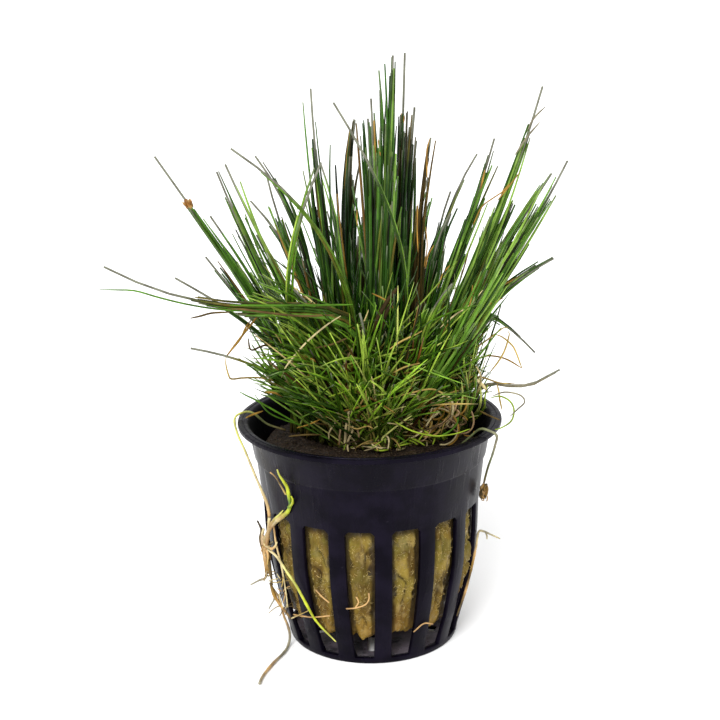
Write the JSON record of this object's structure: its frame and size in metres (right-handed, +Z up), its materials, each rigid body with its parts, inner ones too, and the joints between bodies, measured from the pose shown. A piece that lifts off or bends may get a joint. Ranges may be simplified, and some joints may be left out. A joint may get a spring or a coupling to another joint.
{
  "type": "potted dwarf hairgrass",
  "caption": "Clump of hair-thin aquarium grass rooted in a wet rockwool plug inside a black slotted net pot with a flared lip.",
  "frame": {"origin": "centre of the pot's flat underside", "axes": "+Z up, -Y towards the front of the pot, +X to the viewer's right"},
  "size_m": [0.0956, 0.0637, 0.127],
  "materials": {
    "pot_plastic": "satin black moulded plastic with a faint blue cast",
    "rockwool": "wet, olive-brown mineral wool, fuzzy",
    "grass": "wet, satin green blades",
    "dead_grass": "dull orange-brown dead blades",
    "pale_shoot": "wet, yellow-green young shoot",
    "root": "pale brown root"
  },
  "bodies": {
    "root": {"net_pot": "pot_plastic", "plantlet_leaf": "pale_shoot", "plantlet_roots": "root", "plantlet_shoot": "pale_shoot", "rockwool_plug": "rockwool", "root_ball": "root", "root_sprig": "root", "runner_left": "root", "runner_right": "root", "trailing_root": "root", "tuft_back_1": "grass", "tuft_back_10": "grass", "tuft_back_2": "grass", "tuft_back_3": "grass", "tuft_back_4": "grass", "tuft_back_5": "grass", "tuft_back_6": "grass", "tuft_back_7": "grass", "tuft_back_8": "grass", "tuft_back_9": "grass", "tuft_brown": "dead_grass", "tuft_dark_spear": "grass", "tuft_front_1": "grass", "tuft_front_2": "grass", "tuft_front_3": "grass", "tuft_front_4": "grass", "tuft_front_5": "grass", "tuft_front_6": "grass", "tuft_front_7": "grass", "tuft_front_8": "grass", "tuft_lean_across": "grass", "tuft_left_arch": "grass", "tuft_left_back": "grass", "tuft_left_cross": "grass", "tuft_left_fan": "grass", "tuft_left_lean": "grass", "tuft_left_low": "grass", "tuft_left_reach": "grass", "tuft_left_short": "grass", "tuft_left_spear": "grass", "tuft_left_sweep": "grass", "tuft_long_lean": "grass", "tuft_middle": "grass", "tuft_middle_back": "grass", "tuft_right_droop": "grass", "tuft_right_fan": "grass", "tuft_right_long": "grass", "tuft_right_pale": "grass", "tuft_right_reach": "grass", "tuft_right_spear": "grass", "tuft_right_thick": "grass", "tuft_right_thin": "grass", "tuft_seed_stalk": "grass", "tuft_tall": "grass", "tuft_tall_back": "grass", "tuft_tall_seed": "grass", "tuft_up_left": "grass"}
  },
  "joints": []
}
